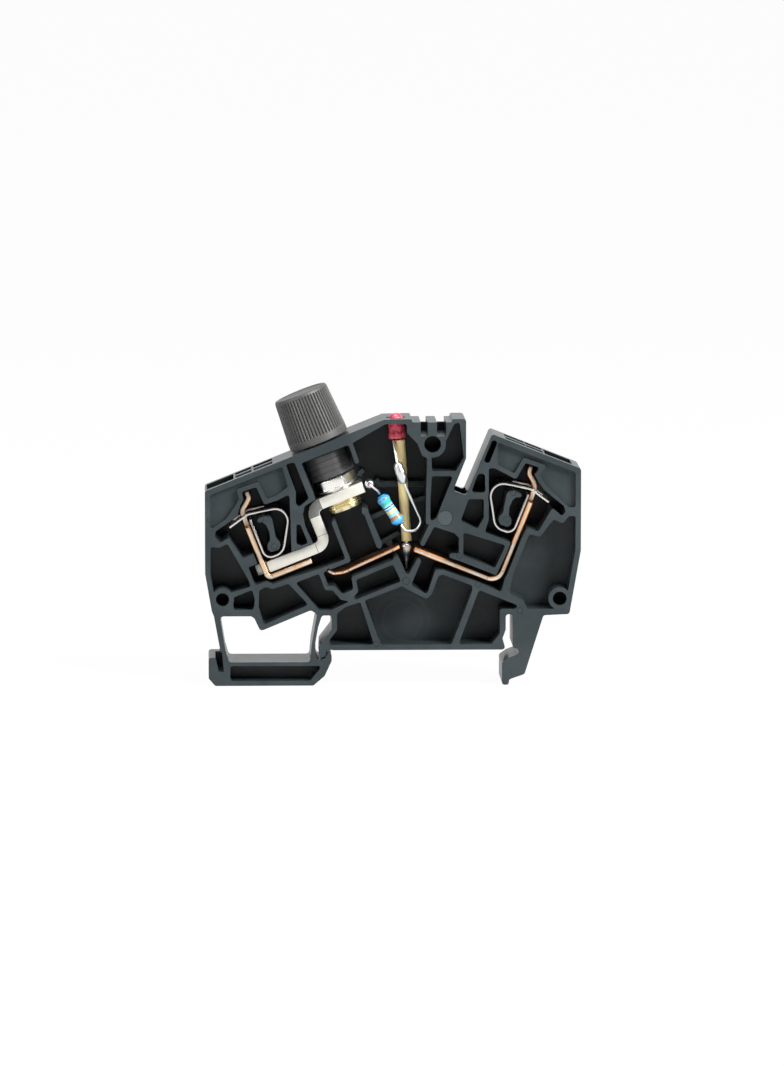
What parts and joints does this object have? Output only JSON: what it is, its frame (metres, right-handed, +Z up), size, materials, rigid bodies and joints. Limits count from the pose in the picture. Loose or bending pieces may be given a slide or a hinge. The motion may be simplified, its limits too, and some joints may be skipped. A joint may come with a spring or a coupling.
{
  "type": "fuse terminal block",
  "caption": "Rail-mounted fuse terminal block, open on one side, with sprung wire clamps, a screw fuse cap and a blown-fuse lamp circuit.",
  "frame": {"origin": "centre of the bounding box's base, on the plane that the two feet stand on", "axes": "+X along the section from the sprung foot to the fixed foot, +Y towards the closed back, +Z up from the rail"},
  "size_m": [0.0696, 0.012, 0.0558],
  "materials": {
    "black_polyamide": "moulded satin",
    "black_cap_plastic": "moulded, ribbed cap",
    "tinned_copper": "tin plate",
    "spring_steel": "rolled strip",
    "nickel_plate": "nickel plate",
    "bare_copper": "bare copper",
    "solder": "solder",
    "sleeve_plastic": "woven sleeve",
    "resistor_coat": "blue coat with colour bands",
    "lamp_plastic": "tinted clear plastic"
  },
  "bodies": {
    "base": {"housing": "black_polyamide", "left_current_bar": "tinned_copper", "right_current_bar": "tinned_copper", "left_clamp_spring": "spring_steel", "right_clamp_spring": "spring_steel", "fuse_busbar": "tinned_copper", "fuse_socket_barrel": "black_cap_plastic", "socket_bushing": "nickel_plate", "bottom_contact_strip": "bare_copper", "lamp": "lamp_plastic", "lamp_lead_short": "nickel_plate", "lamp_lead_sleeved": "nickel_plate", "insulating_sleeve": "sleeve_plastic", "resistor_body": "resistor_coat", "resistor_lead_upper": "nickel_plate", "resistor_lead_lower": "nickel_plate", "lead_splice": "solder", "bar_solder_joint": "solder", "plate_solder_joint": "solder"},
    "cap_carrier": {"cap_contact_clip": "nickel_plate", "cap_spring": "spring_steel"},
    "cap": {"fuse_cap": "black_cap_plastic"}
  },
  "joints": [
    {"name": "cap_lift", "type": "slide", "parent": "base", "child": "cap_carrier", "axis": [-0.3697, 0, 0.9291], "range_m": [0, 0.003]},
    {"name": "cap_turn", "type": "hinge", "parent": "cap_carrier", "child": "cap", "pos_m": [-0.01343, 0, 0.0448], "axis": [-0.3697, 0, 0.9291], "range_deg": [0, 720]}
  ],
  "couplings": [
    {"joint": "cap_turn", "follows": "cap_lift", "rad_per_m": 4188}
  ]
}
